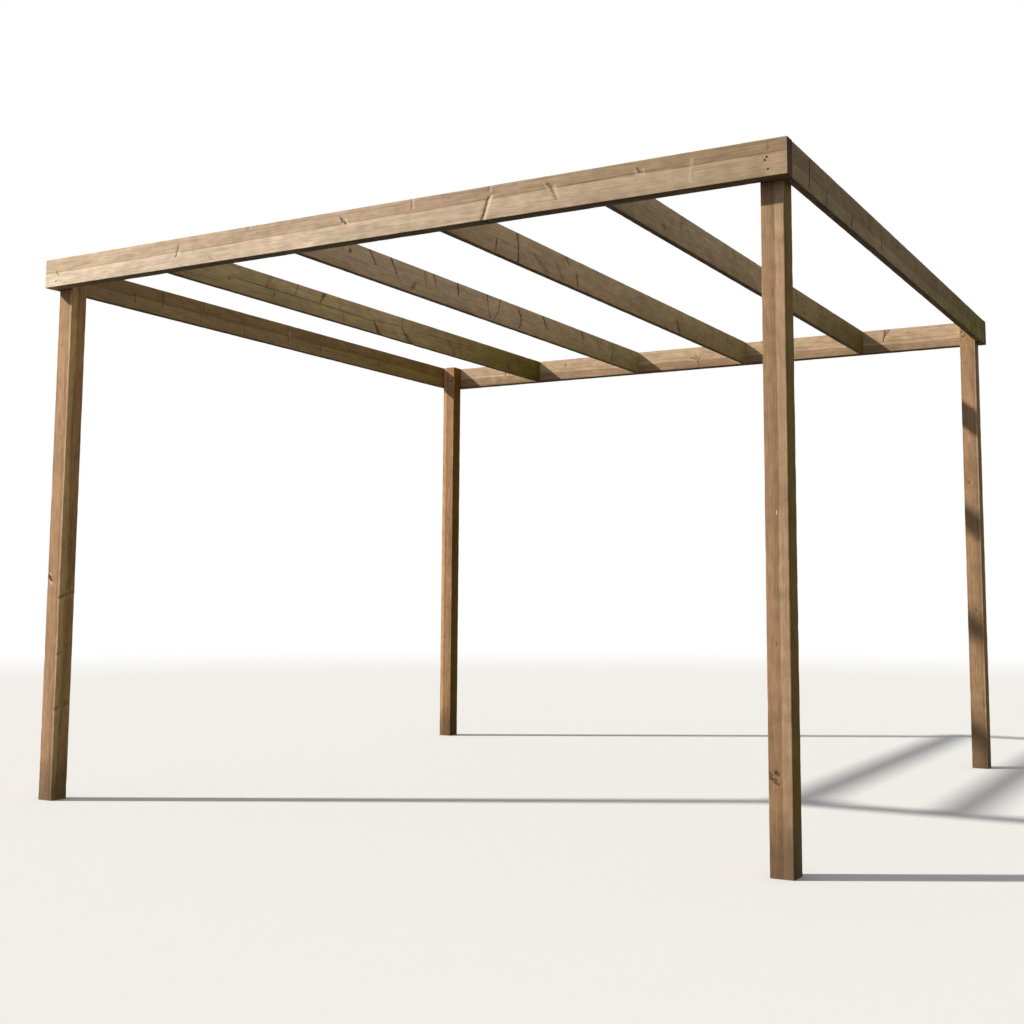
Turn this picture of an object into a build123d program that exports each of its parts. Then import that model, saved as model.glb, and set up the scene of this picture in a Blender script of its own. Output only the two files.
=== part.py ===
from build123d import *
import os

# A free-standing garden pergola: four square posts inside the corners of a flat frame,
# which is closed by a front, a rear and two side beams and filled with rafters on edge.
# All timbers are planed softwood with eased arrises. Tops and undersides are flush.
# +X is to the right, +Y runs from the front beam to the rear beam, +Z is up.
# The origin is on the ground, in the middle of the plan.

# Frame, outside faces, in millimetres
frame_width = 3800.0
frame_depth = 3660.0
frame_height = 2610.0

# Posts
post_width = 90.0
post_ease = 4.0

# Beams and rafters share one depth, so that the frame is flush above and below
beam_depth = 140.0
main_beam_thickness = 60.0
side_beam_thickness = 34.0
rafter_thickness = 30.0
beam_ease = 3.0

# The rafters are set out from the left end at one pitch, and the last bay comes out narrower
rafter_count = 4
last_bay_shortfall = 25.0


def timber(section_plane, section_width, section_depth, length, ease):
    """A planed timber with eased arrises, centred on the origin, its length along the plane's normal."""
    section = section_plane * RectangleRounded(section_width, section_depth, ease)
    return extrude(section, amount=length / 2, both=True)


def post():
    """A post that stands on the ground and ends flush with the top of the frame."""
    shaft = timber(Plane.XY, post_width, post_width, frame_height, post_ease)
    return Pos(0, 0, frame_height / 2) * shaft


def main_beam():
    """A front or rear beam. It runs the full width and shows its end grain at the corners."""
    return timber(Plane.YZ, main_beam_thickness, beam_depth, frame_width, beam_ease)


def cross_timber(thickness):
    """A side beam or rafter, cut square to fit between the front and the rear beam."""
    length = frame_depth - 2 * main_beam_thickness
    return timber(Plane.XZ, thickness, beam_depth, length, beam_ease)


# Centre lines of the frame's members
beam_height = frame_height - beam_depth / 2
main_beam_offset = frame_depth / 2 - main_beam_thickness / 2
side_beam_offset = frame_width / 2 - side_beam_thickness / 2

# Each post stands in a corner, against the main beam and the side beam
post_offset_x = frame_width / 2 - side_beam_thickness - post_width / 2
post_offset_y = frame_depth / 2 - main_beam_thickness - post_width / 2

# Distance between the rafters' centre lines, counted from the left end of the frame
rafter_pitch = (frame_width + last_bay_shortfall) / (rafter_count + 1)

nodes = {}

for end_name, end_sign in (("front", -1), ("rear", 1)):
    nodes[f"beam_{end_name}"] = Pos(0, end_sign * main_beam_offset, beam_height) * main_beam()

for side_name, side_sign in (("left", -1), ("right", 1)):
    side_beam = cross_timber(side_beam_thickness)
    nodes[f"beam_{side_name}"] = Pos(side_sign * side_beam_offset, 0, beam_height) * side_beam
    for end_name, end_sign in (("front", -1), ("rear", 1)):
        place = Pos(side_sign * post_offset_x, end_sign * post_offset_y, 0)
        nodes[f"post_{end_name}_{side_name}"] = place * post()

for number in range(1, rafter_count + 1):
    rafter_x = number * rafter_pitch - frame_width / 2
    nodes[f"rafter_{number}"] = Pos(rafter_x, 0, beam_height) * cross_timber(rafter_thickness)

os.makedirs("parts", exist_ok=True)
for name, shape in nodes.items():
    shape.label = name
    export_step(shape, f"parts/{name}.step")
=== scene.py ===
import bpy
import math
from functools import partial
from mathutils import Matrix, Vector


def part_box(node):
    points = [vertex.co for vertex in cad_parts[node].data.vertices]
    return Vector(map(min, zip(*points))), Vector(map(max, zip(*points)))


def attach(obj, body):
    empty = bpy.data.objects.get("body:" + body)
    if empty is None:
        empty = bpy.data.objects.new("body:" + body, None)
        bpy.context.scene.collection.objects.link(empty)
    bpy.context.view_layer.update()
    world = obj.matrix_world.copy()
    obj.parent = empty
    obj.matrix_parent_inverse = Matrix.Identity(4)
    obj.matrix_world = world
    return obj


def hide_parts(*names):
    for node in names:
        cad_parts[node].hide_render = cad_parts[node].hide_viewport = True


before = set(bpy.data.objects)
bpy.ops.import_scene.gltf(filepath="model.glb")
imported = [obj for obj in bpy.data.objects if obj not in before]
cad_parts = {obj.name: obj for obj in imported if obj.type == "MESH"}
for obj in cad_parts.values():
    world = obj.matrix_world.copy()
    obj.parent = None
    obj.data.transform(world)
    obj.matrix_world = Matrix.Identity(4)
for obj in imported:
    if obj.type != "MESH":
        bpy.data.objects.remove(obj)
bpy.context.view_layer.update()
mm = 0.001
sharpAngle = math.radians(35)
print("CAD frame loaded")


def addNode(tree, kind, inputs=(), operation=None, **settings):
    # inputs go by name, or in the order in which the node shows them
    node = tree.nodes.new(kind)
    if operation:
        node.operation = operation
    for name, value in settings.items():
        setattr(node, name, value)
    if isinstance(inputs, dict):
        pairs = [(node.inputs[name], value) for name, value in inputs.items()]
    else:
        pairs = zip([socket for socket in node.inputs if socket.enabled], inputs)
    for socket, value in pairs:
        if isinstance(value, bpy.types.Node):
            value = next(output for output in value.outputs if output.enabled)
        if isinstance(value, bpy.types.NodeSocket):
            tree.links.new(value, socket)
        else:
            socket.default_value = value
    return node


def newGroup(name, kind, inputs, outputs):
    # a node group with named inputs and outputs, listed by the type of their sockets, and what adds a node to it
    tree = bpy.data.node_groups.new(name, kind)
    for side, sockets in (("INPUT", inputs), ("OUTPUT", outputs)):
        for socketType, names in sockets.items():
            for socketName in names.split():
                tree.interface.new_socket(name=socketName, in_out=side, socket_type="NodeSocket" + socketType)
    return tree, partial(addNode, tree), addNode(tree, "NodeGroupInput").outputs


def emptyTree(owner):
    # empties a shader tree and returns what adds a node to it
    owner.use_nodes = True
    owner.node_tree.nodes.clear()
    return partial(addNode, owner.node_tree)


def linearColour(hexText):
    # sRGB hex to the linear values that shaders want
    channels = [int(hexText[i:i + 2], 16) / 255 for i in (1, 3, 5)]
    return [c / 12.92 if c <= 0.04045 else ((c + 0.055) / 1.055) ** 2.4 for c in channels] + [1.0]


def addObject(name, data):
    thing = bpy.data.objects.new(name, data)
    bpy.context.scene.collection.objects.link(thing)
    return thing


def runTree(name, group, points, values):
    # runs a tree on a mesh of points and returns what it makes as a plain mesh
    carrier = addObject("carrier", points)
    modifier = carrier.modifiers.new(name, "NODES")
    modifier.node_group = group
    for item in group.interface.items_tree:
        if item.item_type == "SOCKET" and item.in_out == "INPUT" and item.name in values:
            modifier[item.identifier] = values[item.name]       # by its identifier, before the first evaluation
    bpy.context.view_layer.update()
    graph = bpy.context.evaluated_depsgraph_get()
    mesh = bpy.data.meshes.new_from_object(carrier.evaluated_get(graph))
    mesh.name = name
    mesh.set_sharp_from_angle(angle=sharpAngle)
    bpy.data.objects.remove(carrier)
    print(name, "with", len(mesh.polygons), "faces")
    return mesh


# What all the timbers share, in mm: the spacing of stations along them, how far a check wanders off its line, over
# what length it wanders and tears, the size of wear along and across an arris, and how far the dressed timber stays
# inside the CAD's
timberStyle = {"station": 12, "wander": 8, "wanderLength": 260, "tearLength": 45, "wearLength": 90,
               "wearAcross": 25, "skin": 0.2}
# what each point of a section carries
sectionData = ("spot", "sideways", "inward", "arrisPull", "checkSpan", "checkSize", "checkPart")


def makeTimberTree():
    # sweeps a timber's section along its length, opens the drying checks and wears the arrises
    tree, add, given = newGroup("planedTimber", "GeometryNodeTree", {
        "Geometry": "Section", "Float": "Length Station Wear Wander Seed", "Vector": "Turn Place",
        "Object": "Holes", "Material": "Wood"}, {"Geometry": "Timber"})

    # section and centre line, with the distance along it kept on every station
    section = add("GeometryNodeMeshToCurve", [given["Section"]])
    farEnd = add("ShaderNodeCombineXYZ", [given["Length"]])
    line = add("GeometryNodeCurvePrimitiveLine", {"End": farEnd})
    stations = add("GeometryNodeResampleCurve", {"Curve": line, "Length": given["Station"]}, mode="LENGTH")
    spline = add("GeometryNodeSplineParameter")
    kept = add("GeometryNodeCaptureAttribute")
    kept.capture_items.new("FLOAT", "Along")
    tree.links.new(stations.outputs[0], kept.inputs["Geometry"])
    tree.links.new(spline.outputs["Length"], kept.inputs["Along"])
    swept = add("GeometryNodeCurveToMesh", {
        "Curve": kept.outputs["Geometry"], "Profile Curve": section, "Fill Caps": True})
    along = kept.outputs["Along"]
    carried = {name: add("GeometryNodeInputNamedAttribute", {"Name": name}, data_type="FLOAT_VECTOR")
               for name in sectionData}
    span, size, part = (add("ShaderNodeSeparateXYZ", [carried[name]]).outputs
                        for name in ("checkSpan", "checkSize", "checkPart"))

    # a check opens from nothing at one end to its full size and closes again
    share = add("ShaderNodeMapRange", [along, span[0], span[1]])
    rest = add("ShaderNodeMath", [1.0, share], "SUBTRACT")
    hump = add("ShaderNodeMath", [share, rest], "MULTIPLY")
    humpFull = add("ShaderNodeMath", [hump, 4.0], "MULTIPLY")
    opening = add("ShaderNodeMath", [humpFull], "SQRT")
    checkSeed = add("ShaderNodeMath", [size[2], 7.31, given["Seed"]], "MULTIPLY_ADD")
    tearPlace = add("ShaderNodeMath", [along, 1 / (timberStyle["tearLength"] * mm), checkSeed], "MULTIPLY_ADD")
    tear = add("ShaderNodeTexNoise", [tearPlace, 1.0, 2.0], noise_dimensions="1D")
    tearSize = add("ShaderNodeMapRange", [tear, 0.3, 0.65, 0.35, 1.0])
    gape = add("ShaderNodeMath", [opening, tearSize], "MULTIPLY")

    # it follows the grain, a little off the timber's own direction, and beyond its two ends its lips run straight
    inSpan = add("ShaderNodeClamp", [along, span[0], span[1]])
    wanderPlace = add("ShaderNodeMath", [inSpan, 1 / (timberStyle["wanderLength"] * mm), checkSeed], "MULTIPLY_ADD")
    wanderNoise = add("ShaderNodeTexNoise", [wanderPlace, 1.0, 1.0], noise_dimensions="1D")
    wanderMid = add("ShaderNodeMath", [wanderNoise, 0.5], "SUBTRACT")
    bothEnds = add("ShaderNodeMath", [span[0], span[1]], "ADD")
    offMiddle = add("ShaderNodeMath", [bothEnds, -0.5, inSpan], "MULTIPLY_ADD")
    slope = add("ShaderNodeMath", [offMiddle, span[2]], "MULTIPLY")
    drift = add("ShaderNodeMath", [wanderMid, given["Wander"], slope], "MULTIPLY_ADD")
    driftHere = add("ShaderNodeMath", [drift, part[2]], "MULTIPLY")
    lipWide = add("ShaderNodeMath", [part[0], size[0]], "MULTIPLY")
    across = add("ShaderNodeMath", [lipWide, gape, driftHere], "MULTIPLY_ADD")
    pitDeep = add("ShaderNodeMath", [part[1], size[1]], "MULTIPLY")
    inside = add("ShaderNodeMath", [pitDeep, gape], "MULTIPLY")

    # knocks and slight wane along the arrises
    spotScaled = add("ShaderNodeVectorMath", [carried["spot"], 1 / (timberStyle["wearAcross"] * mm)], "SCALE")
    alongScaled = add("ShaderNodeMath", [along, 1 / (timberStyle["wearLength"] * mm), given["Seed"]], "MULTIPLY_ADD")
    alongVector = add("ShaderNodeCombineXYZ", {"Z": alongScaled})
    wearPlace = add("ShaderNodeVectorMath", [spotScaled, alongVector], "ADD")
    wearNoise = add("ShaderNodeTexNoise", [wearPlace, 1.0, 3.0])
    worn = add("ShaderNodeMapRange", [wearNoise, 0.5, 0.75])
    wornSize = add("ShaderNodeMath", [worn, given["Wear"]], "MULTIPLY")

    placed = carried["spot"]
    for direction, amount in (("sideways", across), ("inward", inside), ("arrisPull", wornSize)):
        step = add("ShaderNodeVectorMath", [carried[direction], amount], "SCALE")
        placed = add("ShaderNodeVectorMath", [placed, step], "ADD")
    flat = add("ShaderNodeSeparateXYZ", [placed]).outputs
    centred = add("ShaderNodeMath", [given["Length"], -0.5, along], "MULTIPLY_ADD")
    position = add("ShaderNodeCombineXYZ", [centred, flat[0], flat[1]])
    shaped = add("GeometryNodeSetPosition", {"Geometry": swept, "Position": position})

    # into place, and the countersinks and small holes cut out
    turn = add("FunctionNodeEulerToRotation", [given["Turn"]])
    inPlace = add("GeometryNodeTransform", [shaped, given["Place"], turn])
    cutters = add("GeometryNodeObjectInfo", [given["Holes"]]).outputs["Geometry"]
    cut = add("GeometryNodeMeshBoolean", [inPlace, cutters], "DIFFERENCE", solver="EXACT")
    real = add("GeometryNodeRealizeInstances", [cut])
    done = add("GeometryNodeSetMaterial", {"Geometry": real, "Material": given["Wood"]})
    add("NodeGroupOutput", {"Timber": done})
    return tree


def sectionMesh(thickness, depth, length, ease, checks):
    # one closed loop of edges: four eased arrises, and three points for each drying check
    arcSteps = 4
    lipGap = 0.05 * mm
    rows = []
    half = Vector((thickness / 2, depth / 2, 0))
    corners = [(1, -1, -90, "+across"), (1, 1, 0, "+deep"), (-1, 1, 90, "-across"), (-1, -1, 180, "-deep")]
    for sx, sy, startAngle, face in corners:
        centre = Vector((sx * (half.x - ease), sy * (half.y - ease), 0))
        for i in range(arcSteps + 1):
            angle = math.radians(startAngle + 90 * i / arcSteps)
            outward = Vector((math.cos(angle), math.sin(angle), 0))
            rows.append({"spot": centre + outward * ease, "arrisPull": -outward})
        outAngle = math.radians(startAngle + 90)
        normal = Vector((math.cos(outAngle), math.sin(outAngle), 0))
        path = Vector((-normal.y, normal.x, 0))
        reach = half.x if "across" in face else half.y
        sense = 1 if face in ("+across", "-deep") else -1       # the loop runs anticlockwise
        here = sorted((c for c in enumerate(checks) if c[1][0] == face), key=lambda c: c[1][1] * sense)
        for number, (_, at, start, stop, wide, deep, slope) in here:
            for lip, pit in ((-1, 0), (0, 1), (1, 0)):
                rows.append({
                    "spot": normal * reach + path * (at * mm * sense + lip * lipGap),
                    "sideways": path, "inward": -normal,
                    "checkSpan": (length / 2 + start * mm, length / 2 + stop * mm, slope * sense),
                    "checkSize": (wide * mm / 2, deep * mm, number + 1), "checkPart": (lip, pit, 1)})
    mesh = bpy.data.meshes.new("timberSection")
    count = len(rows)
    mesh.from_pydata([row["spot"] for row in rows], [(i, (i + 1) % count) for i in range(count)], [])
    for name in sectionData:
        values = [number for row in rows for number in row.get(name, (0, 0, 0))]
        mesh.attributes.new(name, "FLOAT_VECTOR", "POINT").data.foreach_set("vector", values)
    return mesh


def turnedMesh(name, bodies, segments):
    # closed bodies of rings about an axis: (place, facing, [(depth below the surface, radius), ...])
    verts, faces = [], []
    for place, facing, rings in bodies:
        axis = Vector(facing)
        side = axis.orthogonal().normalized()
        other = axis.cross(side)
        first = len(verts)
        for depth, radius in rings:
            for i in range(segments):
                angle = 2 * math.pi * i / segments
                out = side * math.cos(angle) + other * math.sin(angle)
                verts.append(Vector(place) * mm + (-axis * depth + out * radius) * mm)
        for ring in range(len(rings) - 1):
            low = first + ring * segments
            for i in range(segments):
                j = (i + 1) % segments
                faces.append((low + i, low + segments + i, low + segments + j, low + j))
        faces.append([first + i for i in range(segments)])
        faces.append([first + (len(rings) - 1) * segments + i for i in reversed(range(segments))])
    mesh = bpy.data.meshes.new(name)
    mesh.from_pydata(verts, [], faces)
    return mesh


timberTree = makeTimberTree()
turns = {"X": (0, 0, 0), "Y": (0, 0, math.pi / 2), "Z": (0, -math.pi / 2, 0)}
print("timber tree ready")


# Planed pressure-treated softwood, brown from the treatment and a few summers old: tan spring growth with
# darker lines of autumn growth, a redder heart, brown knots, dark ends and a greyer top. These are the tones of
# the palest timber, and each timber's own two tints bring them down
woodTones = {
    "sapEarly": "#F9E6D1", "sapLate": "#CDB297",
    "heartEarly": "#D8C1AB", "heartLate": "#B1957A",
    "knot": "#6B4A33", "knotRim": "#2E2018",
    "endGrain": "#7E6A56", "weathered": "#8F8472",
    "damp": "#4A4230", "algaeAndShade": "#4E4A20", "bareAndLit": "#F8EAD2",
    "redStain": "#FFFBFC", "greenStain": "#FBFEF5",
}
wood = {name: linearColour(tone) for name, tone in woodTones.items()}
# the wood's patterns: how often one repeats in a metre along, across and through the depth, and its detail. Fibre
# is well under 1 mm wide in the real plank and is drawn 4 mm wide so that it shows
woodPatterns = {
    "slow": ((1.5, 5.0, 5.0), 2.0), "fine": ((7.0, 70.0, 70.0), 2.0),
    "fibre": ((6.0, 1 / (4 * mm), 1 / (4 * mm)), 3.0),
    "blotch": ((2.2, 9.0, 9.0), 4.0), "mottle": ((17.0, 48.0, 48.0), 3.0), "stain": ((5.0, 16.0, 16.0), 3.0)}
# how far three of them darken and lighten it: fibre, and treatment taken up unevenly in long blotches and a mottle
toneRanges = {"fibre": (0.82, 1.14), "blotch": (0.84, 1.1), "mottle": (0.84, 1.13)}
# What all the logs share, in mm: how far rings swell round a knot and waver, over what breadth years come out thin,
# the heart's soft edge and dark line, a knot's patches, the radii between which a branch turns dark right through,
# and how far and over what length it winds
logStyle = {"swell": 14, "waver": 5, "thinYears": 16, "heartEdge": 3, "heartLine": 4, "knotPatch": 9,
            "thickBranch": 10, "thinBranch": 5, "wind": 16, "windLength": 35}
# How weather and painted shade show: how squarely a face faces away from the key light, which takes the painted
# shade, or faces the sky, and an end its own way, to count as one; how far tops are bleached, and a sawn one's share
# of it;
# in m, how high a splash carries and between what heights the foot gets damp, and how damp
weatherAndShade = {"faces": (0.6, 0.95), "ends": (0.8, 0.95), "bleached": (0.2, 0.65), "sawnShare": 0.4, "splash": 0.22,
           "damp": (0.2, -0.1), "dampMost": 0.6}
# a mark is drawn this many times as wide as it is in the real wood, so that it shows from 7 m away
markSpread = 2.0


def makeBranch():
    # one branch inside a log, from its start to its end, laid over the branches before it
    marks = "Body Edge Near"
    tree, add, given = newGroup("branch", "ShaderNodeTree", {
        "Vector": "Point Start End", "Float": "StartRadius EndRadius Strength " + marks}, {"Float": marks})
    axis = add("ShaderNodeVectorMath", [given["End"], given["Start"]], "SUBTRACT")
    offset = add("ShaderNodeVectorMath", [given["Point"], given["Start"]], "SUBTRACT")
    square = add("ShaderNodeVectorMath", [axis, axis], "DOT_PRODUCT")
    reach = add("ShaderNodeVectorMath", [offset, axis], "DOT_PRODUCT")
    share = add("ShaderNodeMath", [reach, square], "DIVIDE", use_clamp=True)
    step = add("ShaderNodeVectorMath", [axis, share], "SCALE")
    gap = add("ShaderNodeVectorMath", [offset, step], "DISTANCE")
    radius = add("ShaderNodeMapRange", [share, 0.0, 1.0, given["StartRadius"], given["EndRadius"]])
    ratio = add("ShaderNodeMath", [gap, radius], "DIVIDE")
    body = add("ShaderNodeMapRange", [ratio, 1.4, 0.6, 0.0, given["Strength"]], interpolation_type="SMOOTHSTEP")
    off = add("ShaderNodeMath", [ratio, 1.0], "SUBTRACT")
    offSize = add("ShaderNodeMath", [off], "ABSOLUTE")
    rim = add("ShaderNodeMapRange", [offSize, 0.45, 0.0, 0.0, given["Strength"]])
    # a thin branch is dark right through, and a thick one only at its rim
    thin = add("ShaderNodeMapRange", [radius, logStyle["thickBranch"] * mm, logStyle["thinBranch"] * mm])
    thinBody = add("ShaderNodeMath", [thin, body], "MULTIPLY")
    dark = add("ShaderNodeMath", [thinBody, rim], "MAXIMUM")
    nearby = add("ShaderNodeMath", [ratio, ratio], "MULTIPLY")
    nearMore = add("ShaderNodeMath", [nearby, 0.4, 1.0], "MULTIPLY_ADD")
    near = add("ShaderNodeMath", [given["Strength"], nearMore], "DIVIDE")
    add("NodeGroupOutput", {
        name: add("ShaderNodeMath", [given[name], value], "MAXIMUM")
        for name, value in (("Body", body), ("Edge", dark), ("Near", near))})
    return tree


def makeFigure():
    # the figure of one log: growth rings about the pith, the heart, knots and fibre
    tree, add, given = newGroup("softwoodFigure", "ShaderNodeTree", {
        "Vector": "Point", "Float": "PithAcross PithDeep PithLean Heart Ring RingDepth Bend Body Edge Near Seed"},
        {"Color": "Colour", "Float": "Height"})
    seedOff = add("ShaderNodeVectorMath", [(1.7, 3.1, 5.3), given["Seed"]], "SCALE")
    noise = {}
    for name, (perMetre, detail) in woodPatterns.items():
        place = add("ShaderNodeVectorMath", [given["Point"], perMetre, seedOff], "MULTIPLY_ADD")
        noise[name] = add("ShaderNodeTexNoise", [place, 1.0, detail])

    # the log bends and swells slowly, so that the rings run out of flat sawn faces
    slowMid = add("ShaderNodeVectorMath", [noise["slow"].outputs["Color"], (0.5, 0.5, 0.5)], "SUBTRACT")
    bend = add("ShaderNodeVectorMath", [slowMid, given["Bend"]], "SCALE")
    bent = add("ShaderNodeVectorMath", [bend, given["Point"]], "ADD")
    xyz = add("ShaderNodeSeparateXYZ", [bent]).outputs
    pithDeep = add("ShaderNodeMath", [xyz[0], given["PithLean"], given["PithDeep"]], "MULTIPLY_ADD")
    sideways = add("ShaderNodeMath", [xyz[1], given["PithAcross"]], "SUBTRACT")
    upwards = add("ShaderNodeMath", [xyz[2], pithDeep], "SUBTRACT")
    spoke = add("ShaderNodeCombineXYZ", {"Y": sideways, "Z": upwards})
    radius = add("ShaderNodeVectorMath", [spoke], "LENGTH")

    # rings part and flow round a knot
    swollen = add("ShaderNodeMath", [given["Near"], logStyle["swell"] * mm, radius], "MULTIPLY_ADD")
    ringRadius = add("ShaderNodeMath", [noise["fine"], logStyle["waver"] * mm, swollen], "MULTIPLY_ADD")
    thinYears = add("ShaderNodeTexNoise", [ringRadius, 1 / (logStyle["thinYears"] * mm), 1.0], noise_dimensions="1D")
    ringCount = add("ShaderNodeMath", [ringRadius, given["Ring"]], "DIVIDE")
    ringAge = add("ShaderNodeMath", [thinYears, 2.5, ringCount], "MULTIPLY_ADD")
    ringPart = add("ShaderNodeMath", [ringAge], "FRACT")
    ringNumber = add("ShaderNodeMath", [ringAge], "FLOOR")
    autumnRise = add("ShaderNodeMapRange", [ringPart, 0.35, 0.9], interpolation_type="SMOOTHSTEP")
    autumnStop = add("ShaderNodeMapRange", [ringPart, 1.0, 0.92])
    yearNoise = add("ShaderNodeTexWhiteNoise", [ringNumber], noise_dimensions="1D")
    yearStrength = add("ShaderNodeMapRange", [yearNoise, 0.0, 1.0, 0.3, 1.0])
    autumn = autumnRise
    for factor in (autumnStop, yearStrength, given["RingDepth"]):
        autumn = add("ShaderNodeMath", [autumn, factor], "MULTIPLY")
    heartFrom = add("ShaderNodeMath", [given["Heart"], logStyle["heartEdge"] * mm], "ADD")
    heart = add("ShaderNodeMapRange", [ringRadius, heartFrom, given["Heart"]], interpolation_type="SMOOTHSTEP")
    early = add("ShaderNodeMix", [heart, wood["sapEarly"], wood["heartEarly"]], data_type="RGBA")
    late = add("ShaderNodeMix", [heart, wood["sapLate"], wood["heartLate"]], data_type="RGBA")
    rings = add("ShaderNodeMix", [autumn, early, late], data_type="RGBA")
    # the heart ends in a thin dark line
    fromHeart = add("ShaderNodeMath", [ringRadius, given["Heart"]], "SUBTRACT")
    heartGap = add("ShaderNodeMath", [fromHeart], "ABSOLUTE")
    heartLine = add("ShaderNodeMapRange", [heartGap, logStyle["heartLine"] * mm, 0.0, 0.0, 0.4])
    lined = add("ShaderNodeMix", [heartLine, rings, wood["heartLate"]], data_type="RGBA")

    fibreTone, blotchTone, mottleTone = (
        add("ShaderNodeMapRange", [noise[name], 0.3, 0.7, dark, pale])
        for name, (dark, pale) in toneRanges.items())
    toneMore = add("ShaderNodeMath", [fibreTone, blotchTone], "MULTIPLY")
    tone = add("ShaderNodeMath", [toneMore, mottleTone], "MULTIPLY")
    toned = add("ShaderNodeVectorMath", [lined, tone], "SCALE")
    # the wood has turned redder in places and greener in others
    stainShare = add("ShaderNodeMapRange", [noise["stain"], 0.38, 0.62])
    stainTone = add("ShaderNodeMix", [stainShare, wood["redStain"], wood["greenStain"]], data_type="RGBA")
    stained = add("ShaderNodeVectorMath", [toned, stainTone], "MULTIPLY")
    # a knot is patchy, here and there the wood shows through it, and the wood beside it is darker
    crumb = add("ShaderNodeTexNoise", [given["Point"], 1 / (logStyle["knotPatch"] * mm), 3.0])
    crumbTone = add("ShaderNodeMapRange", [crumb, 0.35, 0.65, 0.35, 1.0])
    bodyPatchy = add("ShaderNodeMath", [given["Body"], crumbTone], "MULTIPLY")
    beside = add("ShaderNodeMath", [given["Near"], given["Near"]], "MULTIPLY")
    besideShare = add("ShaderNodeMath", [beside, 0.6], "MULTIPLY")
    bodyShare = add("ShaderNodeMath", [bodyPatchy, besideShare], "MAXIMUM")
    withKnots = add("ShaderNodeMix", [bodyShare, stained, wood["knot"]], data_type="RGBA")
    edgeTone = add("ShaderNodeMath", [crumbTone, 0.85], "MULTIPLY")
    edgeShare = add("ShaderNodeMath", [given["Edge"], edgeTone], "MULTIPLY")
    withRims = add("ShaderNodeMix", [edgeShare, withKnots, wood["knotRim"]], data_type="RGBA")
    # autumn growth stands proud, and a branch has shrunk back into a shallow trough
    ridge = add("ShaderNodeMath", [autumn, 0.5, noise["fibre"]], "MULTIPLY_ADD")
    relief = add("ShaderNodeMath", [given["Near"], -9.0, ridge], "MULTIPLY_ADD")
    add("NodeGroupOutput", {"Colour": withRims, "Height": relief})
    return tree


branchTree = makeBranch()
figureTree = makeFigure()


def addMarks(add, point, rows, spread):
    # lays marks one over another, each from its start to its end, both (along, deep), with one or two radii
    marks = {"Body": 0.0, "Edge": 0.0, "Near": 0.0}
    for alongFrom, deepFrom, alongTo, deepTo, *radii, strength in rows:
        mark = add("ShaderNodeGroup", dict(
            marks, Point=point, Start=(alongFrom * mm, 0, deepFrom * mm), End=(alongTo * mm, 0, deepTo * mm),
            StartRadius=radii[0] * spread * mm, EndRadius=radii[-1] * spread * mm, Strength=strength),
            node_tree=branchTree)
        marks = {key: mark.outputs[key] for key in marks}
    return marks


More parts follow.
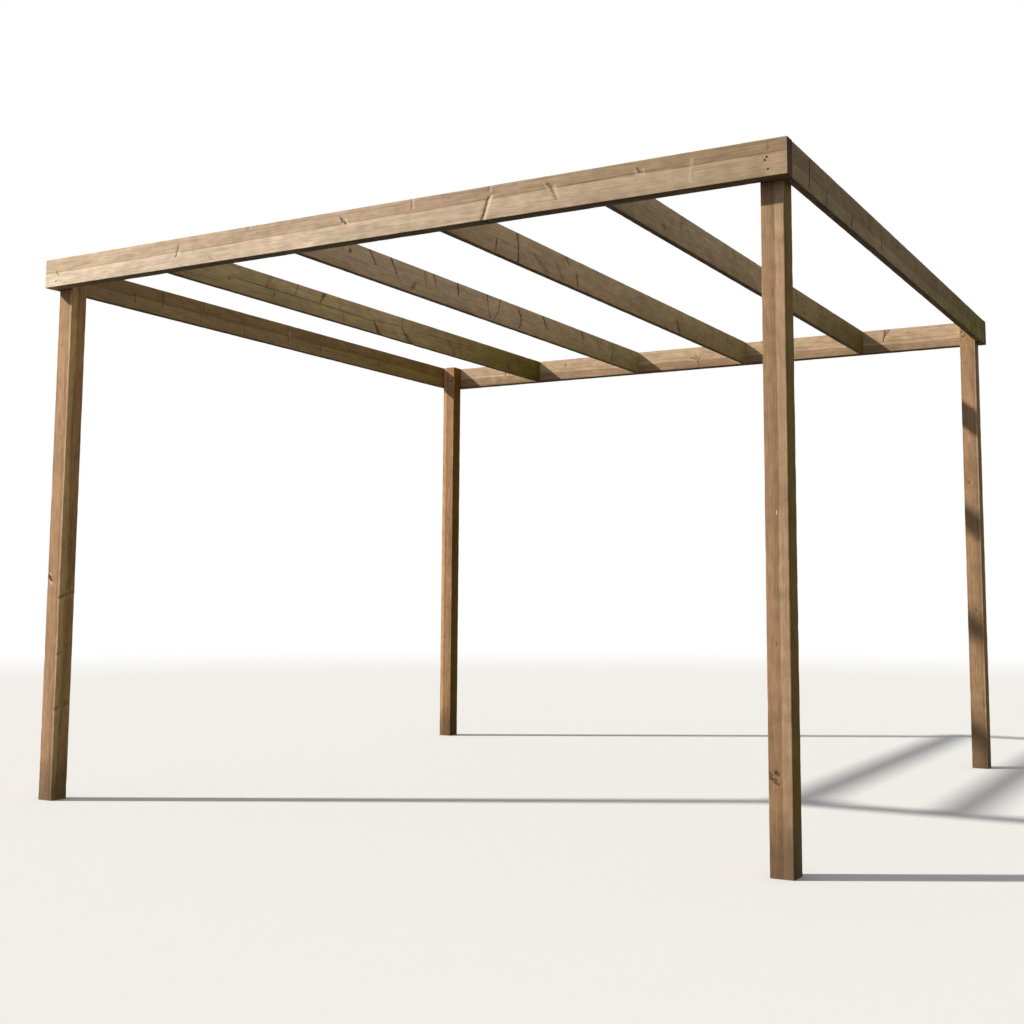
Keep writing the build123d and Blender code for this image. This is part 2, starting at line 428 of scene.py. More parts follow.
def woodMaterial(name, piece, middle, size):
    material = bpy.data.materials.new(name)
    add = emptyTree(material)
    halfLength, halfThickness = size[0] / 2, size[1] / 2
    where = add("ShaderNodeTexCoord").outputs["Object"]
    # the pattern's X runs along this timber, Y across its thickness and Z through its depth
    local = add("ShaderNodeMapping", [where, tuple(middle), turns[piece["along"]]], vector_type="TEXTURE")
    through = add("ShaderNodeSeparateXYZ", [local]).outputs

    # branches run through the thickness and come out a little further along on the far face
    branchLean = 0.35
    shifted = add("ShaderNodeMath", [through[1], -branchLean, through[0]], "MULTIPLY_ADD")
    shiftedBack = add("ShaderNodeMath", [shifted, branchLean * halfThickness], "SUBTRACT")
    flattened = add("ShaderNodeMath", [through[1], 1 * mm / halfThickness], "MULTIPLY")
    branchPlace = add("ShaderNodeCombineXYZ", [shiftedBack, flattened, through[2]])
    wobbleNoise = add("ShaderNodeTexNoise", [branchPlace, 1 / (logStyle["windLength"] * mm), 2.0])
    wobble = add("ShaderNodeVectorMath", [wobbleNoise.outputs["Color"], (0.5, 0.5, 0.5)], "SUBTRACT")
    wind = logStyle["wind"] * mm
    wobbled = add("ShaderNodeVectorMath", [wobble, (wind, 0, wind), branchPlace], "MULTIPLY_ADD")
    figure = add("ShaderNodeGroup", dict(
        addMarks(add, wobbled, piece["branches"], markSpread), Point=local, PithAcross=piece["pith"][0] * mm,
        PithDeep=piece["pith"][1] * mm, PithLean=piece["pith"][2], Heart=piece["heart"] * mm,
        Ring=piece["ring"] * mm, RingDepth=piece["ringDepth"], Bend=piece["bend"] * mm, Seed=float(piece["seed"])),
        node_tree=figureTree)
    share = add("ShaderNodeMapRange", [through[0], -halfLength, halfLength])
    tint = add("ShaderNodeMix", [share, *map(linearColour, piece["tints"])], data_type="RGBA")
    tinted = add("ShaderNodeMix", [1.0, figure.outputs["Colour"], tint], data_type="RGBA", blend_type="MULTIPLY")
    # pale scrapes that bare the wood, and on the front beam painted highlights beside the knots
    scrapesAndHighlights = addMarks(add, wobbled, piece.get("scrapesAndHighlights", []), 1)
    scrapedAndLit = add("ShaderNodeMix", [scrapesAndHighlights["Body"], tinted, wood["bareAndLit"]], data_type="RGBA")

    # painted shade: faces turned away from the key light are darker and greener, a painted shade with green bounce
    # light in it, deepening from the middle to the far end; algae creeps along from the far end, and on those faces
    # it is partly real algae and partly painted green shade
    normal = add("ShaderNodeNewGeometry").outputs["Normal"]
    facing = add("ShaderNodeSeparateXYZ", [normal]).outputs
    paintedShadeMask = add("ShaderNodeMapRange", [facing[0], *weatherAndShade["faces"]])
    paintedShadeShare = add("ShaderNodeMapRange", [through[0], 0.0, halfLength])
    paintedShadeTones = map(linearColour, piece.get("paintedShade", ("#FFFFFF", "#FFFFFF")))
    paintedShadeTint = add("ShaderNodeMix", [paintedShadeShare, *paintedShadeTones], data_type="RGBA")
    shaded = add("ShaderNodeMix", [paintedShadeMask, scrapedAndLit, paintedShadeTint], data_type="RGBA", blend_type="MULTIPLY")
    patches = add("ShaderNodeTexNoise", [where, 9.0, 4.0])
    reachFar = add("ShaderNodeMapRange", [through[0], 0.1, halfLength, 0.0, 2 * piece["algaeAndShade"]])
    # algae lies over three times as thick on the painted-shade side, where it is partly painted green shade
    algaeShadeSide = add("ShaderNodeMapRange", [paintedShadeMask, 0.0, 1.0, 0.3, 1.0])
    algaeAndShadeReach = add("ShaderNodeMath", [reachFar, algaeShadeSide], "MULTIPLY")
    algaeAndShadeMask = add("ShaderNodeMath", [patches, algaeAndShadeReach], "MULTIPLY", use_clamp=True)
    green = add("ShaderNodeMix", [algaeAndShadeMask, shaded, wood["algaeAndShade"]], data_type="RGBA")

    # sawn ends are darker, and tops are bleached in patches, a sawn one less; both are told by the way they face
    lengthways = {"X": (1, 0, 0), "Y": (0, 1, 0), "Z": (0, 0, 1)}[piece["along"]]
    endDot = add("ShaderNodeVectorMath", [normal, lengthways], "DOT_PRODUCT")
    endSize = add("ShaderNodeMath", [endDot], "ABSOLUTE")
    endMask = add("ShaderNodeMapRange", [endSize, *weatherAndShade["ends"]])
    withEnds = add("ShaderNodeMix", [endMask, green, wood["endGrain"]], data_type="RGBA", blend_type="MULTIPLY")
    topFace = add("ShaderNodeMapRange", [facing[2], *weatherAndShade["faces"]])
    bleached = add("ShaderNodeMapRange", [patches, 0.35, 0.65, *weatherAndShade["bleached"]])
    sawnLess = add("ShaderNodeMapRange", [endMask, 0.0, 1.0, 1.0, weatherAndShade["sawnShare"]])
    bleachedMore = add("ShaderNodeMath", [sawnLess, bleached], "MULTIPLY")
    topMask = add("ShaderNodeMath", [topFace, bleachedMore], "MULTIPLY")
    withTops = add("ShaderNodeMix", [topMask, withEnds, wood["weathered"]], data_type="RGBA")
    # splashed and damp, up to 200 mm above the feet
    height = add("ShaderNodeSeparateXYZ", [where]).outputs["Z"]
    splash = add("ShaderNodeTexNoise", [where, 14.0, 3.0])
    splashUp = add("ShaderNodeMath", [splash, -weatherAndShade["splash"], height], "MULTIPLY_ADD")
    dampMask = add("ShaderNodeMapRange", [splashUp, *weatherAndShade["damp"], 0.0, weatherAndShade["dampMost"]],
                   interpolation_type="SMOOTHSTEP")
    finished = add("ShaderNodeMix", [dampMask, withTops, wood["damp"]], data_type="RGBA")
    bump = add("ShaderNodeBump", {
        "Strength": 0.4, "Distance": 0.8 * mm, "Height": figure.outputs["Height"]})
    # the dry, open surface hardly shines
    sheen = add("ShaderNodeMapRange", [patches, 0.3, 0.7, 0.66, 0.82])
    surface = add("ShaderNodeBsdfPrincipled", {
        "Base Color": finished, "Roughness": sheen, "IOR": 1.5, "Specular IOR Level": 0.06, "Normal": bump})
    add("ShaderNodeOutputMaterial", {"Surface": surface})
    return material


# Timber screws with countersunk heads, places in mm and the way they face. The front beam's right-hand three and
# the rear right post's three are where the photograph shows them; the other corners mirror these two
jointScrews = {
    "beamSpots": [(1824, 2542), (1816, 2532), (1828, 2498)], "beamFace": 1830,
    "postSpots": [(1788.7, 2533.2), (1796.6, 2505.5), (1805.5, 2513.6)], "postFace": 1680,
    "headRadius": 4.2, "headDeep": 2.4, "shankRadius": 2.0, "sunk": 1.4, "starRadii": (1.25, 1.75), "starDeep": 1.5,
    "headSlack": 0.3, "holeDeep": 8, "segments": 24, "holeSegments": 16, "seed": 5}
screwSpots = {}
for endName, endSign in (("front", -1), ("rear", 1)):
    for handSign, handName in ((-1, "left"), (1, "right")):
        for x, z in jointScrews["beamSpots"]:
            screwSpots.setdefault("beam_" + endName, []).append(
                ((x * handSign, jointScrews["beamFace"] * endSign, z), (0, endSign, 0)))
        for x, z in jointScrews["postSpots"]:
            screwSpots.setdefault(f"post_{endName}_{handName}", []).append(
                ((x * handSign, jointScrews["postFace"] * endSign, z), (0, -endSign, 0)))


def makeTimber(name, piece):
    low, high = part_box(piece["node"])
    middle, whole = (low + high) / 2, high - low
    size = {"X": (whole.x, whole.y, whole.z), "Y": (whole.y, whole.x, whole.z),
            "Z": (whole.z, whole.y, whole.x)}[piece["along"]]
    length, thickness, depth = (extent - 2 * timberStyle["skin"] * mm for extent in size)
    sunk, slack, shank = jointScrews["sunk"], jointScrews["headSlack"], jointScrews["shankRadius"]
    head = jointScrews["headRadius"] + slack
    countersink = [(-1, head), (sunk, head), (sunk + jointScrews["headDeep"] + slack, shank),
                   (jointScrews["holeDeep"], shank)]
    cuts = [(place, facing, countersink) for place, facing in screwSpots.get(piece["node"], [])]
    for place, facing, radius, deep in piece.get("holes", []):
        cuts.append((place, facing, [(-1, radius), (deep * 0.4, radius * 0.95), (deep, radius * 0.6)]))
    cutters = addObject("cutters", turnedMesh("cutters", cuts, jointScrews["holeSegments"]))
    section = sectionMesh(thickness, depth, length, piece["ease"] * mm, piece["checks"])
    mesh = runTree(name, timberTree, section, {
        "Length": length, "Station": timberStyle["station"] * mm, "Wear": piece["wear"] * mm,
        "Wander": timberStyle["wander"] * mm, "Seed": float(piece["seed"]), "Turn": turns[piece["along"]],
        "Place": tuple(middle), "Wood": woodMaterial(name + "Softwood", piece, middle, size), "Holes": cutters})
    bpy.data.objects.remove(cutters)
    timber = addObject(name, mesh)
    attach(timber, "root")
    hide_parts(piece["node"])


# In every timber's dictionary a length is in mm. "pith" is its place across and through the depth, and its lean.
# "branches" are (along, deep) of the start and of the end, the two radii and the strength, measured off the photo,
# and "scrapes" the same with one radius: pale scrapes, and on the front beam painted highlights beside the knots.
# "holes" are the place, the way they face, radius and depth. "checks" are the face, its place on it, start, stop,
# width, depth and slope. "tints" run from end to end, and "lee" is a painted shade, darker and greener on the faces
# turned away from the key light, running from the middle to the far end.
frontBeam = {
    # its tints fade from pale at the left end to darker at the right: a painted sheen of the key light on the left
    # end
    "node": "beam_front", "along": "X", "ease": 3, "wear": 1.2, "seed": 3, "tints": ("#FFFCF7", "#B8AD9E"),
    "pith": (0, 95, 0.005), "heart": 92, "ring": 9, "ringDepth": 0.34, "bend": 22, "algaeAndShade": 0,
    "branches": [
        (-1020, 36, -1036, -16, 1.1, 2.4, 0.6), (-610, 60, -608, 62, 3.5, 3.5, 0.35),
        (-834, -42, -812, -58, 1.1, 1.7, 0.35), (-88, 36, -78, 24, 2.6, 3.2, 0.7), (-74, 20, -60, 6, 3, 1.8, 0.7),
        (278, 70, 280, 22, 1.1, 1.6, 0.4), (656, 70, 652, 48, 1, 1.5, 0.35),
        (656, 23, 640, -14, 1.5, 2, 0.9), (640, -14, 622, -66, 2, 2.2, 0.9), (922, 38, 938, 26, 2.6, 2.8, 0.45),
        (938, 22, 960, -32, 2.4, 1.5, 0.4), (1312, 38, 1322, 20, 2.6, 2.4, 0.4),
        (1544, 38, 1536, -46, 1, 1.4, 0.12), (1830, 55, 1829, 32, 1, 1.4, 0.25)],
    # the front beam's scrapes are painted highlights, where light catches the wood raised beside each knot
    "scrapesAndHighlights": [
        (-1012, 6, -1022, -14, 4, 0.25), (-100, 40, -90, 22, 4, 0.35), (-62, 28, -50, 10, 4, 0.3),
        (290, 66, 291, 28, 5, 0.16), (666, 66, 662, 50, 4, 0.18), (669, 22, 653, -14, 5, 0.4),
        (653, -14, 635, -64, 5, 0.35), (908, 42, 926, 14, 4.5, 0.16), (952, 24, 973, -28, 5, 0.2),
        (1300, 36, 1310, 18, 4.5, 0.14), (1334, 32, 1338, 12, 4.5, 0.16), (1534, 40, 1527, -44, 7, 0.15)],
    "checks": [("-across", 22, 950, 1500, 1.6, 7, 0.01), ("+deep", 4, -1500, -300, 2.4, 11, 0.004),
               ("+deep", -9, 200, 1750, 2.2, 9, -0.005), ("+across", -12, -1200, 300, 2, 9, 0.008)]}
makeTimber("frontBeam", frontBeam)

rearBeam = {
    "node": "beam_rear", "along": "X", "ease": 3, "wear": 1.2, "seed": 8, "tints": ("#CDC1B3", "#C9BDAD"),
    "pith": (10, -98, -0.004), "heart": 90, "ring": 9, "ringDepth": 0.8, "bend": 24, "algaeAndShade": 0.1,
    "branches": [
        (-1400, -10, -1388, 50, 1.6, 2.8, 0.5), (-916, 34, -913, 24, 4, 4, 0.5), (-420, -20, -440, 62, 1.6, 2.6, 0.6),
        (20, -4, 90, -10, 1.5, 2.5, 0.45), (60, 20, 84, -60, 1.2, 2.6, 0.4), (540, 5, 520, 66, 1.6, 2.8, 0.6),
        (1010, 40, 1014, 36, 4, 4, 0.6), (1302, 0, 1316, 60, 1.6, 2.4, 0.8), (1318, 30, 1336, 62, 1.6, 2.6, 0.5)],
    "checks": [("+deep", -6, -1700, -100, 2.2, 10, 0.005), ("+deep", 8, 300, 1600, 2.4, 10, -0.003),
               ("+across", 15, -600, 1100, 2, 9, -0.01)]}
makeTimber("rearBeam", rearBeam)

leftBeam = {
    "node": "beam_left", "along": "Y", "ease": 3, "wear": 1.2, "seed": 11, "tints": ("#B4A894", "#BAAC92"),
    "pith": (-19, 48, 0), "heart": 52, "ring": 8, "ringDepth": 0.7, "bend": 20, "algaeAndShade": 0.25,
    "paintedShade": ("#F5F3E2", "#E9E1A8"),
    "branches": [
        (-1080, -33, -1080, 51, 1.2, 1.8, 0.6), (-1276, -37, -1276, 11, 1, 1.8, 0.5),
        (-760, 27, -750, 66, 3, 5, 0.5), (-790, 20, -790, -56, 1, 1.8, 0.35), (-36, 5, -34, 36, 4, 4, 0.6),
        (-36, 0, -38, -50, 2, 1.2, 0.4), (-425, -10, -432, -60, 1.2, 2.2, 0.35), (270, -10, 272, -32, 2, 2.4, 0.4),
        (890, -21, 892, -22, 4.5, 4.5, 0.6), (560, 10, 530, 66, 2, 3.5, 0.25), (1280, 0, 1300, 60, 2, 4, 0.25)],
    "scrapesAndHighlights": [(-30, 8, -29, 32, 8, 0.3), (-752, 34, -750, 60, 9, 0.14)],
    "checks": [("-across", -4, -890, -400, 1.8, 8, 0.006), ("-across", -30, -100, 560, 1.8, 8, -0.008),
               ("+across", 8, -1300, 200, 2, 9, 0.006), ("+deep", 3, -1200, 900, 2.2, 10, 0.002)]}
makeTimber("leftBeam", leftBeam)

rightBeam = {
    "node": "beam_right", "along": "Y", "ease": 3, "wear": 1.2, "seed": 12, "tints": ("#CEC8BC", "#C6BFAA"),
    "pith": (-19, 38, 0), "heart": 52, "ring": 8, "ringDepth": 0.7, "bend": 26, "algaeAndShade": 0.5,
    "paintedShade": ("#D0CEB8", "#B2B054"),
    "branches": [
        (-1564, 51, -1574, -53, 3.2, 2.6, 1), (-1350, -5, -1360, -56, 2, 3, 0.9),
        (-1006, -21, -1016, -56, 2.8, 4.4, 1), (-1160, 27, -1158, 62, 2, 3.6, 0.45),
        (-550, -1, -540, -45, 3, 3.4, 0.9), (-750, -10, -750, 62, 3, 5, 0.4), (-260, 30, -258, 72, 2, 4, 0.5),
        (180, 0, 210, 66, 2, 4, 0.4), (620, -5, 590, -60, 2, 4, 0.4), (1050, 0, 1080, 60, 2, 4, 0.35)],
    "scrapesAndHighlights": [(-1550, 50, -1560, -50, 6, 0.16), (-532, -4, -522, -44, 6, 0.16), (-1338, -8, -1346, -50, 5, 0.1)],
    "checks": [("+deep", -4, -1500, 300, 2.2, 10, 0.002), ("+across", -14, -400, 1300, 2, 9, 0.006)]}
makeTimber("rightBeam", rightBeam)

frontLeftPost = {
    "node": "post_front_left", "along": "Z", "ease": 4, "wear": 1.5, "seed": 21, "tints": ("#CFBAA4", "#DCC7B0"),
    "pith": (18, 70, 0), "heart": 120, "ring": 9, "ringDepth": 0.45, "bend": 14, "algaeAndShade": 0,
    "paintedShade": ("#FFFFDC", "#FFFFE4"),
    "branches": [
        (-246, 31, -266, 17, 2.8, 2.4, 1), (-347, -42, -352, -38, 3, 3, 0.5), (-878, -42, -882, -38, 3, 3, 0.4),
        (-620, -43, -622, -41, 2.4, 2.4, 0.25), (420, -6, 424, -3, 2, 2, 0.4), (880, 12, 884, 14, 2, 2, 0.35)],
    "scrapesAndHighlights": [(-228, 40, -243, 20, 2.5, 0.6), (-264, 35, -288, 9, 2.5, 0.6)],
    "checks": [("-deep", 12, -1000, 900, 2.2, 10, 0.002), ("-across", -16, 100, 900, 1.6, 8, -0.004),
               ("+deep", -8, -700, 1000, 2.4, 12, 0.002)]}
makeTimber("frontLeftPost", frontLeftPost)

frontRightPost = {
    "node": "post_front_right", "along": "Z", "ease": 4, "wear": 1.5, "seed": 22, "tints": ("#B8A390", "#CAB8A5"),
    "pith": (30, 85, 0), "heart": 120, "ring": 9, "ringDepth": 0.38, "bend": 12, "algaeAndShade": 0,
    "paintedShade": ("#A8A65E", "#B8B47C"),
    "branches": [
        (-950, 6, -944, 18, 2.8, 3, 0.75), (-972, 20, -966, 34, 2.6, 2.4, 0.65), (-958, 30, -950, 38, 2, 2, 0.6),
        (-985, 8, -980, 20, 1.8, 2, 0.6), (-506, 4, -500, 6, 1, 1, 0.5), (735, 2, 770, 4, 1.2, 1.2, 0.25),
        (960, 26, 996, 28, 1.2, 1.2, 0.25)],
    "scrapesAndHighlights": [(-48, 2, -34, 2, 1.8, 0.7)],
    "checks": [("-deep", -14, -1150, 1000, 2.4, 12, 0.001), ("+across", 10, -200, 1100, 2.2, 10, -0.003),
               ("+deep", 6, -900, 300, 2.0, 9, 0.004)]}
makeTimber("frontRightPost", frontRightPost)

rearLeftPost = {
    "node": "post_rear_left", "along": "Z", "ease": 4, "wear": 1.5, "seed": 23, "tints": ("#CEB498", "#D6BCA0"),
    "pith": (25, -80, 0), "heart": 120, "ring": 9, "ringDepth": 0.55, "bend": 14, "algaeAndShade": 0,
    "paintedShade": ("#A8A858", "#ACA864"),
    "branches": [(-620, 8, -614, 10, 3, 3, 0.5), (210, -14, 216, -10, 2.4, 2.4, 0.4),
                 (905, 18, 909, 16, 2.4, 2.4, 0.4)],
    "checks": [("-deep", 10, -900, 700, 2.2, 10, 0.002), ("-across", 14, -600, 500, 1.8, 9, 0.003),
               ("+across", -6, -1000, 900, 2.4, 12, 0.001)]}
makeTimber("rearLeftPost", rearLeftPost)

rearRightPost = {
    "node": "post_rear_right", "along": "Z", "ease": 4, "wear": 1.5, "seed": 24, "tints": ("#C2AE99", "#CAB8A2"),
    "pith": (-20, 82, 0), "heart": 120, "ring": 9, "ringDepth": 0.45, "bend": 12, "algaeAndShade": 0,
    "paintedShade": ("#ACAA70", "#B4B080"),
    "branches": [(-410, -8, -404, -4, 3, 3, 0.5), (330, 16, 336, 14, 2.4, 2.4, 0.4),
                 (760, -16, 766, -12, 2.4, 2.4, 0.4)],
    "checks": [("-deep", -6, -800, 900, 2.2, 10, 0.001), ("+across", 12, -900, 500, 2.2, 10, 0.002)]}
makeTimber("rearRightPost", rearRightPost)

rafter1 = {
    "node": "rafter_1", "along": "Y", "ease": 3, "wear": 1.2, "seed": 31, "tints": ("#E4E4D0", "#FCF4DC"),
    "pith": (-18, -1, 0), "heart": 110, "ring": 8, "ringDepth": 0.7, "bend": 26, "algaeAndShade": 0.6,
    "paintedShade": ("#FBFCEE", "#B4AE48"),
    "branches": [
        (-1114, -1, -1070, 72, 3, 7, 0.35), (-884, -5, -852, 72, 1.3, 2, 0.65), (-674, 3, -622, 72, 1.3, 3, 0.95),
        (-666, 5, -648, 66, 1.2, 2, 0.65), (-482, -5, -448, -72, 3, 6, 0.35), (-182, -1, -138, -72, 2, 3, 0.9),
        (-174, -8, -124, -72, 1.5, 6, 0.7), (104, 0, 99, 72, 1.2, 1.8, 0.75), (104, -1, 172, -70, 1.8, 3.5, 0.9),
        (110, -10, 192, -72, 2, 9, 0.75), (-490, 5, -512, 66, 5, 9, 0.25), (590, 11, 660, -45, 3, 8, 0.3),
        (920, 3, 900, 72, 1.5, 2.5, 0.35), (1320, -17, 1350, -41, 4, 7, 0.35),
        (-1044, -25, -1043, -25, 2.6, 2.6, 0.8), (-1380, -13, -1379, -13, 2.6, 2.6, 0.6),
        (-1340, -2, -780, 1, 0.9, 0.9, 0.5), (-780, 1, -190, -6, 0.9, 0.9, 0.55),
        (-176, -2, 100, 12, 0.8, 0.8, 0.45), (350, 17, 900, 11, 0.9, 0.9, 0.4)],
    "holes": [((-1120, -1044, 2515), (1, 0, 0), 2.5, 6), ((-1120, -1380, 2527), (1, 0, 0), 2, 5)],
    "checks": [("-across", -3, -1350, -190, 2.8, 10, 0), ("-across", 6, -180, 110, 2, 7, 0.025),
               ("-across", 15, 350, 900, 2, 8, -0.012), ("+across", 10, -900, 800, 2.2, 9, 0.004),
               ("+deep", 2, -1000, 700, 2, 9, 0.001)]}
makeTimber("rafter1", rafter1)

rafter2 = {
    "node": "rafter_2", "along": "Y", "ease": 3, "wear": 1.2, "seed": 32, "tints": ("#FBF8F0", "#EEE6D0"),
    "pith": (-17, -5, 0), "heart": 110, "ring": 8, "ringDepth": 0.7, "bend": 26, "algaeAndShade": 0.2,
    "paintedShade": ("#FFFFFC", "#EAF0D4"),
    "branches": [
        (-1210, 3, -1262, 70, 1.3, 2.4, 0.8), (-1040, -1, -1094, 70, 1.4, 2.6, 0.95), (-780, -1, -796, 52, 2, 4, 0.4),
        (-690, 3, -718, 70, 1.3, 2.6, 0.65), (-480, 7, -488, 70, 2, 3.6, 1), (-180, -5, -186, 70, 1.3, 2.4, 0.75),
        (-180, -5, -158, -60, 1.3, 2.4, 0.65), (-70, -5, -52, 62, 1.3, 2.4, 0.8), (-70, -5, -122, -60, 1.3, 2, 0.6),
        (186, -5, 158, 40, 2.6, 4.2, 0.9), (186, -5, 164, -50, 2.2, 2.8, 0.8), (490, -5, 438, 62, 1.8, 3.8, 0.85),
        (960, 7, 928, 66, 1.8, 3.8, 0.9), (1180, -5, 1148, 38, 2, 3.4, 0.65), (1366, 20, 1372, 66, 2.4, 3.6, 0.6),
        (1366, 20, 1350, -58, 2.4, 3.6, 0.65), (-882, -20, -892, -48, 2, 2.4, 0.7), (-898, -34, -916, -50, 3, 4, 0.5),
        (-1414, 25, -1413, 25, 4.5, 4.5, 0.8), (-1470, 10, -1472, 45, 1.3, 2, 0.5)],
    "holes": [((-355, -1414, 2565), (1, 0, 0), 5, 12)],
    "checks": [("-across", -6, -1480, -1250, 1.6, 7, 0), ("+across", 12, -1000, 900, 2.2, 9, 0.003),
               ("+deep", -3, -900, 1200, 2, 9, 0.002)]}
makeTimber("rafter2", rafter2)

rafter3 = {
    "node": "rafter_3", "along": "Y", "ease": 3, "wear": 1.2, "seed": 33, "tints": ("#F6F2E4", "#D3CBAE"),
    "pith": (-19, -1, 0), "heart": 110, "ring": 8, "ringDepth": 0.7, "bend": 30, "algaeAndShade": 0.2,
    "paintedShade": ("#FFFFFC", "#F4F8E2"),
    "branches": [
        (-1170, 3, -1182, 62, 2, 4, 0.75), (-1170, 3, -1174, -64, 1.8, 2.6, 0.95), (-680, 27, -712, 72, 2, 4.5, 0.65),
        (-600, -5, -590, -50, 3, 4.6, 0.7), (-1360, -5, -1372, -55, 2.4, 4, 0.75), (-1020, -1, -900, -60, 3, 8, 0.4),
        (640, -1, 682, -64, 3, 5, 0.9), (634, 6, 652, -40, 3, 6, 0.5), (-810, 10, -750, -50, 3, 5, 0.35),
        (1438, 10, 1430, 60, 3, 4, 0.3), (150, 5, 175, 60, 2, 4, 0.2), (1080, 0, 1060, -60, 2, 5, 0.2)],
    "checks": [("-across", -1, -1470, -1110, 2.2, 9, 0), ("+across", -8, -1300, 500, 2.2, 9, 0.004),
               ("+deep", 3, -1400, 400, 2, 9, -0.002)]}
makeTimber("rafter3", rafter3)

rafter4 = {
    "node": "rafter_4", "along": "Y", "ease": 3, "wear": 1.2, "seed": 34, "tints": ("#E8E4DE", "#D1C8AC"),
    "pith": (-24, 4, 0), "heart": 110, "ring": 8, "ringDepth": 0.7, "bend": 32, "algaeAndShade": 0.3,
    "paintedShade": ("#FAFFF4", "#C2C592"),
    "branches": [
        (-1100, 10, -1070, 60, 4, 9, 0.35), (-1275, -27, -1272, -30, 5, 5, 0.6), (-420, 3, -460, 43, 5, 7, 0.4),
        (-810, -20, -710, -62, 3, 7, 0.3), (492, 11, 470, 43, 6, 7, 0.4), (1442, 3, 1440, 50, 5, 5, 0.4),
        (-40, -5, -20, -60, 2, 4, 0.35), (980, 0, 1000, -56, 2, 4, 0.3)],
    "scrapesAndHighlights": [(826, -9, 834, -9, 11, 0.25)],
    "checks": [("+across", 6, -1100, 700, 2.2, 9, 0.003), ("+deep", -2, -600, 1300, 2, 9, 0.002)]}
makeTimber("rafter4", rafter4)


def makeScrewTree():
    # puts one head on every spot, facing out of the timber and turned by chance
    tree, add, given = newGroup("screwHeads", "GeometryNodeTree", {
        "Geometry": "Spots", "Object": "Head", "Int": "Seed", "Material": "Steel"}, {"Geometry": "Screws"})
    head = add("GeometryNodeObjectInfo", [given["Head"]]).outputs["Geometry"]
    facing = add("GeometryNodeInputNamedAttribute", {"Name": "facing"}, data_type="FLOAT_VECTOR")
    upright = add("FunctionNodeAlignRotationToVector", {"Vector": facing}, axis="Z")
    chance = add("FunctionNodeRandomValue", {"Max": 2 * math.pi, "Seed": given["Seed"]}, data_type="FLOAT")
    driven = add("FunctionNodeAxisAngleToRotation", {"Axis": (0, 0, 1), "Angle": chance})
    turned = add("FunctionNodeRotateRotation", [upright, driven], rotation_space="LOCAL")
    heads = add("GeometryNodeInstanceOnPoints", {
        "Points": given["Spots"], "Instance": head, "Rotation": turned})
    real = add("GeometryNodeRealizeInstances", [heads])
    done = add("GeometryNodeSetMaterial", {"Geometry": real, "Material": given["Steel"]})
    add("NodeGroupOutput", {"Screws": done})
    return tree


def screwHeadMesh(piece):
    # a closed countersunk head with a six-lobed star recess, its flat top at zero
    count = piece["segments"]
    low, high = piece["starRadii"]
    star = [low + (high - low) * (0.5 + 0.5 * math.cos(12 * math.pi * i / count)) for i in range(count)]
    rings = [([piece["shankRadius"]] * count, -piece["headDeep"]), ([piece["headRadius"]] * count, -0.2),
             ([piece["headRadius"] - 0.15] * count, 0), (star, 0), ([r * 0.85 for r in star], -piece["starDeep"])]
    verts, faces = [], []
    for radii, height in rings:
        for i, radius in enumerate(radii):
            angle = 2 * math.pi * i / count
            verts.append((radius * math.cos(angle) * mm, radius * math.sin(angle) * mm, height * mm))
    for ring in range(len(rings) - 1):
        for i in range(count):
            j = (i + 1) % count
            low = ring * count
            faces.append((low + i, low + j, low + count + j, low + count + i))
    faces.append([i for i in reversed(range(count))])
    faces.append([(len(rings) - 1) * count + i for i in range(count)])
    mesh = bpy.data.meshes.new("screwHead")
    mesh.from_pydata(verts, [], faces)
    return mesh


# Timber screws of carbon steel, hot coated dark brown and dull; the near-black of the coating is partly painted shade
# for the countersinks they sit in
steel = bpy.data.materials.new("brownCoatedSteelAndShade")
add = emptyTree(steel)
where = add("ShaderNodeTexCoord").outputs["Object"]
rubbed = add("ShaderNodeTexNoise", [where, 1 / (2 * mm), 3.0])
rubbedMask = add("ShaderNodeMapRange", [rubbed, 0.5, 0.7])
coatingAndShade = add("ShaderNodeMix", [rubbedMask, linearColour("#2C2620"), linearColour("#5A4A3A")], data_type="RGBA")
worn = add("ShaderNodeMapRange", [rubbed, 0.3, 0.7, 0.38, 0.6])
bump = add("ShaderNodeBump", {"Strength": 0.3, "Distance": 0.1 * mm, "Height": rubbed})
metal = add("ShaderNodeBsdfPrincipled", {
    "Base Color": coatingAndShade, "Metallic": 0.7, "Roughness": worn, "Normal": bump})
add("ShaderNodeOutputMaterial", {"Surface": metal})

allSpots = [spot for spots in screwSpots.values() for spot in spots]
spotMesh = bpy.data.meshes.new("screwSpots")
spotMesh.from_pydata([(Vector(place) - Vector(facing) * jointScrews["sunk"]) * mm for place, facing in allSpots],
                     [], [])
spotMesh.attributes.new("facing", "FLOAT_VECTOR", "POINT").data.foreach_set(
    "vector", [float(number) for _, facing in allSpots for number in facing])
headObject = addObject("screwHead", screwHeadMesh(jointScrews))
screwMesh = runTree("jointScrews", makeScrewTree(), spotMesh, {
    "Head": headObject, "Seed": jointScrews["seed"], "Steel": steel})
bpy.data.objects.remove(headObject)
screws = addObject("jointScrews", screwMesh)
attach(screws, "root")

# A pale floor and a white surround, which light the timbers far less than they show
stage = {"halfWidth": 60, "pale": "#C2C2C1", "bounce": "#1E1C19", "fadeFrom": 9, "fadeTo": 18,
         "skyColour": "#FCFDFF", "skyStrength": 0.545}


def seenMask(add):
    # 1 where the camera sees something directly, in a mirror or through glass
    path = add("ShaderNodeLightPath").outputs
    mirrored = add("ShaderNodeMath", [path["Is Camera Ray"], path["Is Glossy Ray"]], "MAXIMUM")
    return add("ShaderNodeMath", [mirrored, path["Is Transmission Ray"]], "MAXIMUM")


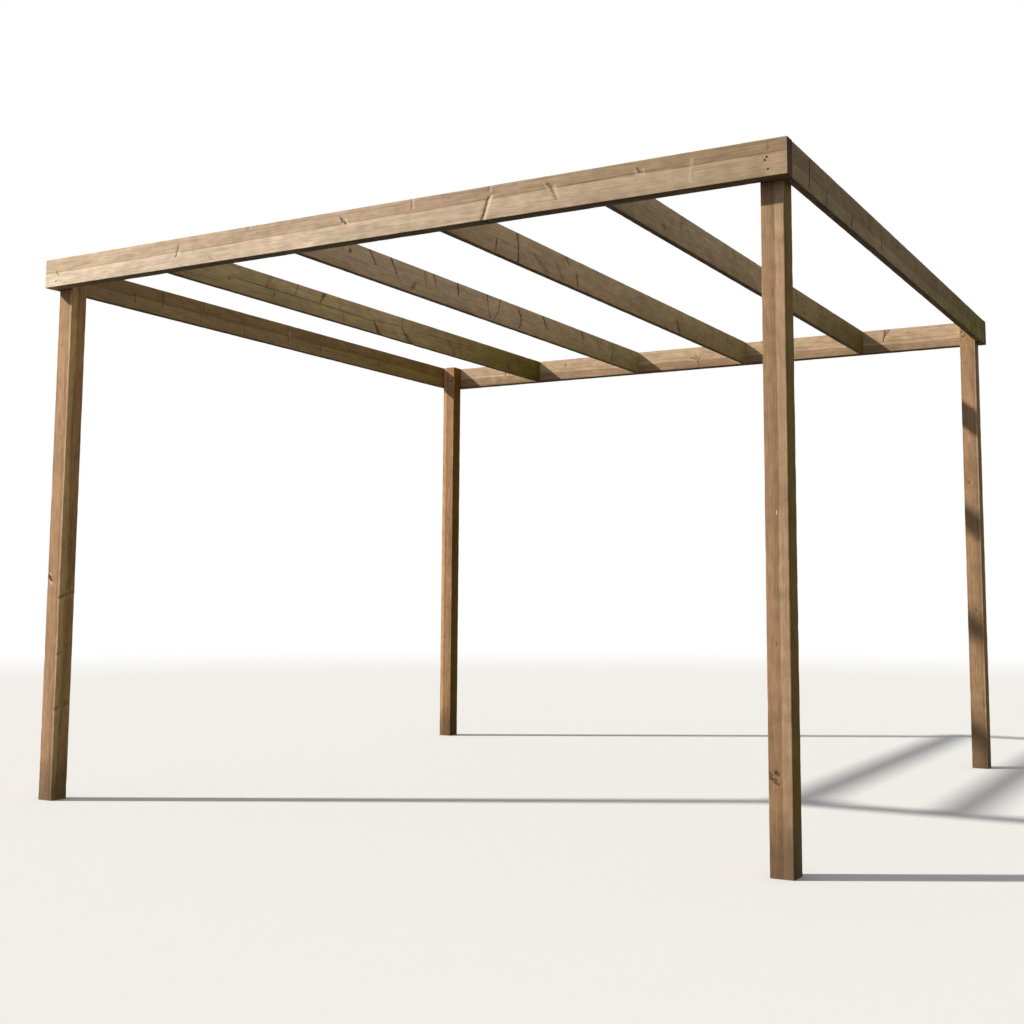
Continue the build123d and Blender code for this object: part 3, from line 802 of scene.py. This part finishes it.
floorMesh = bpy.data.meshes.new("floor")
edge = stage["halfWidth"]
floorMesh.from_pydata([(-edge, -edge, 0), (edge, -edge, 0), (edge, edge, 0), (-edge, edge, 0)], [], [(0, 1, 2, 3)])
floor = addObject("floor", floorMesh)
paint = bpy.data.materials.new("paleFloor")
add = emptyTree(paint)
seen = seenMask(add)
floorColour = add("ShaderNodeMix", [seen, linearColour(stage["bounce"]), linearColour(stage["pale"])],
                  data_type="RGBA")
matt = add("ShaderNodeBsdfDiffuse", [floorColour])
white = add("ShaderNodeEmission", [(1, 1, 1, 1), 1.0])
where = add("ShaderNodeTexCoord").outputs["Object"]
away = add("ShaderNodeVectorMath", [where], "LENGTH")
fade = add("ShaderNodeMapRange", [away, stage["fadeFrom"], stage["fadeTo"]], interpolation_type="SMOOTHSTEP")
fadeSeen = add("ShaderNodeMath", [fade, seen], "MULTIPLY")
both = add("ShaderNodeMixShader", [fadeSeen, matt, white])
add("ShaderNodeOutputMaterial", {"Surface": both})
floorMesh.materials.append(paint)

world = bpy.data.worlds.new("studio")
bpy.context.scene.world = world
add = emptyTree(world)
skyLight = add("ShaderNodeBackground", [linearColour(stage["skyColour"]), stage["skyStrength"]])
skySeen = add("ShaderNodeBackground", [(1, 1, 1, 1), 1.0])
sky = add("ShaderNodeMixShader", [seenMask(add), skyLight, skySeen])
add("ShaderNodeOutputWorld", {"Surface": sky})

keyLight = {"travels": (0.72, 0.39, -0.574), "strength": 6.1, "softness": 2.0, "colour": "#FFFAF2"}
lamp = bpy.data.lights.new("key", "SUN")
lamp.energy = keyLight["strength"]
lamp.angle = math.radians(keyLight["softness"])
lamp.color = linearColour(keyLight["colour"])[:3]
key = addObject("key", lamp)
key.rotation_euler = Vector(keyLight["travels"]).to_track_quat("-Z", "Y").to_euler()

# found by fitting the timbers' edges to the photograph, for a frame of 1024 by 1024
viewpoint = {"place": (3.3753, -6.2734, 0.9616), "heading": -28.5238, "tilt": 6.0987, "roll": 0.1747,
             "focalPixels": 1329.19, "middle": (555.04, 455.73), "frame": 1024, "sensor": 36}
lens = bpy.data.cameras.new("camera")
lens.sensor_width = viewpoint["sensor"]
lens.lens = viewpoint["focalPixels"] * viewpoint["sensor"] / viewpoint["frame"]
lens.shift_x = 0.5 - viewpoint["middle"][0] / viewpoint["frame"]
lens.shift_y = viewpoint["middle"][1] / viewpoint["frame"] - 0.5
lens.clip_end = 200
camera = addObject("camera", lens)
camera.matrix_world = (Matrix.Translation(viewpoint["place"])
                       @ Matrix.Rotation(math.radians(-viewpoint["heading"]), 4, "Z")
                       @ Matrix.Rotation(math.radians(90 + viewpoint["tilt"]), 4, "X")
                       @ Matrix.Rotation(math.radians(viewpoint["roll"]), 4, "Z"))
bpy.context.scene.camera = camera
bpy.context.scene.view_settings.view_transform = "Standard"
print("floor, light and camera ready")
